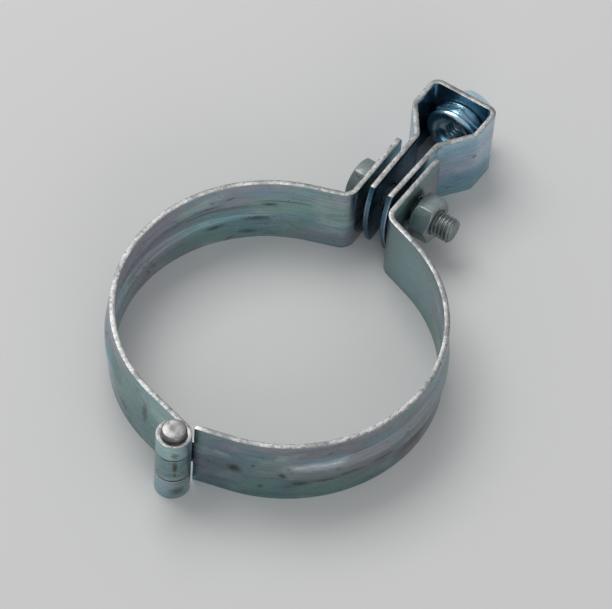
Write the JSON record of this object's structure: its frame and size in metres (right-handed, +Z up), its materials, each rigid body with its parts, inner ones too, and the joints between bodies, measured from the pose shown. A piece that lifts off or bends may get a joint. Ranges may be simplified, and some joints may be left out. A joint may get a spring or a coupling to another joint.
{
  "type": "hinged pipe clamp",
  "caption": "Hinged two-part pipe clamp of bent strip, with a clamp bolt through its ears and a pivoting yoke that carries a threaded swivel for a hanger rod.",
  "frame": {"origin": "centre of the back half's round pipe seat, on the plane the clamp rests on", "axes": "+Z up along the pipe's axis and the hinge pin, +X from the hinge towards the yoke and its swivel, +Y towards the half that carries the bolt head"},
  "size_m": [0.1693, 0.1033, 0.0274],
  "materials": {
    "strip": "zinc plated, blue passivated, satin",
    "hardware": "zinc plated, duller than the strip",
    "pin": "zinc plated, riveted top bright",
    "swivel": "zinc plated, satin"
  },
  "bodies": {
    "back_half": {"back_band": "strip", "hinge_pin": "pin"},
    "front_half": {"front_band": "strip"},
    "bolt": {"clamp_bolt": "hardware"},
    "nut": {"clamp_nut": "hardware"},
    "yoke": {"yoke": "strip"},
    "swivel": {"swivel_bush": "swivel", "swivel_nut": "swivel"}
  },
  "joints": [
    {"name": "bolt_turn", "type": "hinge", "parent": "back_half", "child": "bolt", "pos_m": [0.06404, -0.00138, 0.0125], "axis": [0, -1, 0], "range_deg": [-1296, 144]},
    {"name": "nut_travel", "type": "slide", "parent": "back_half", "child": "nut", "axis": [0, 1, 0], "range_m": [-0.0045, 0.0005]},
    {"name": "ring_hinge", "type": "hinge", "parent": "back_half", "child": "front_half", "pos_m": [-0.05426, -0.00218, 0.0125], "axis": [0, 0, 1], "range_deg": [-2.18, 0.24]},
    {"name": "yoke_pivot", "type": "hinge", "parent": "back_half", "child": "yoke", "pos_m": [0.06404, -0.00138, 0.0125], "axis": [0, 1, 0], "range_deg": [-105, 105]},
    {"name": "swivel_turn", "type": "hinge", "parent": "yoke", "child": "swivel", "pos_m": [0.10204, -0.00138, 0.0125], "axis": [1, 0, 0], "continuous": true}
  ],
  "couplings": [
    {"joint": "nut_travel", "follows": "bolt_turn", "m_per_rad": 0.00019894},
    {"joint": "ring_hinge", "follows": "bolt_turn", "ratio": 0.0016817}
  ]
}
